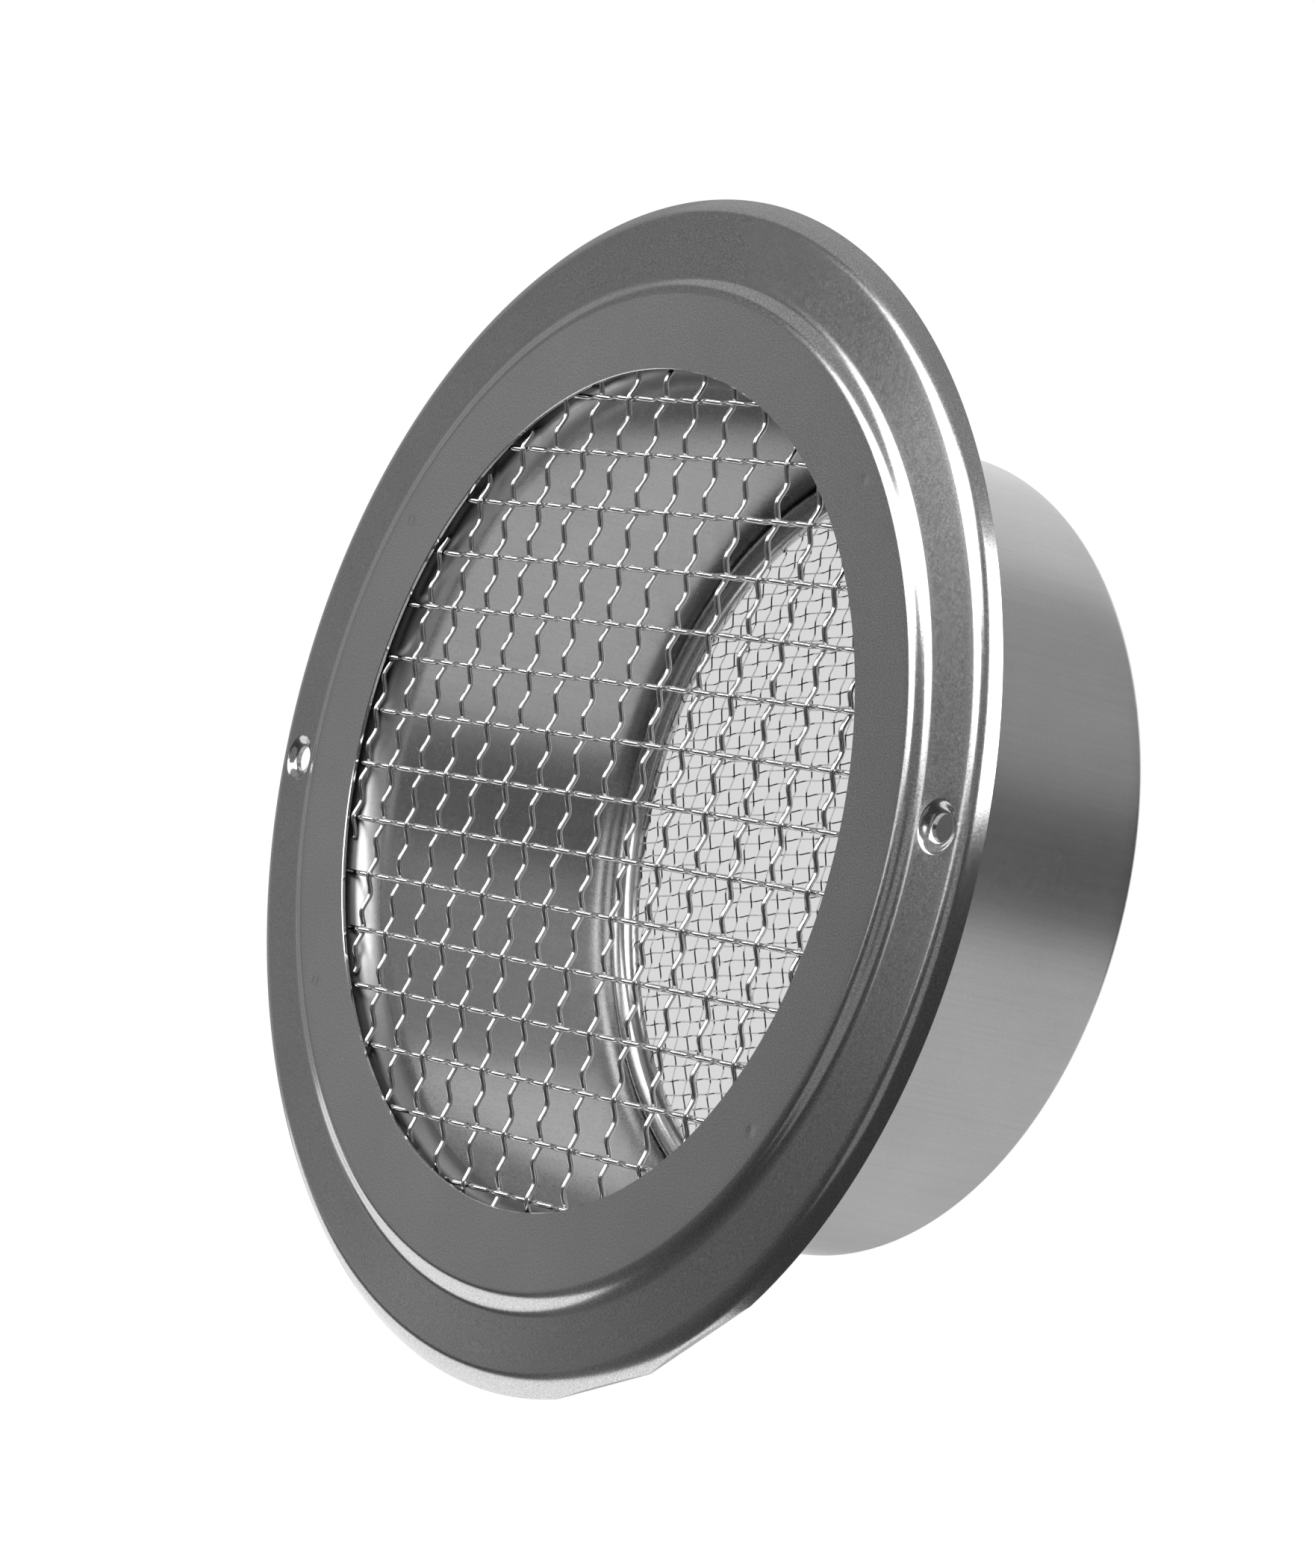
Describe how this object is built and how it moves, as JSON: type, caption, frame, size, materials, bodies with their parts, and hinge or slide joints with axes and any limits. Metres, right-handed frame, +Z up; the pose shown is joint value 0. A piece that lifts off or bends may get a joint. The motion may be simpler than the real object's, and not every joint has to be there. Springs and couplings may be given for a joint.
{
  "type": "round eave vent",
  "caption": "Round metal eave vent with a stepped face plate, a spigot for a duct, a coarse crimped guard mesh in its opening and a fine insect mesh at its rear end.",
  "frame": {"origin": "on the axis of the vent, in the plane where the rim of the face plate meets the wall", "axes": "+Y along the axis from the face towards the duct, +X towards the right-hand screw hole seen from the front, +Z up"},
  "size_m": [0.212, 0.0664, 0.212],
  "materials": {
    "face_steel": "satin stainless steel sheet, polished along the bends",
    "spigot_steel": "satin stainless steel sheet with fine lines around the tube",
    "guard_wire": "bright drawn stainless steel wire",
    "ring_steel": "bright rolled stainless steel",
    "insect_wire": "fine drawn stainless steel wire"
  },
  "bodies": {
    "root": {"face_plate": "face_steel", "spigot": "spigot_steel", "guard_warp_wires": "guard_wire", "guard_weft_wires": "guard_wire", "mesh_ring": "ring_steel", "insect_warp_wires": "insect_wire", "insect_weft_wires": "insect_wire"}
  },
  "joints": []
}
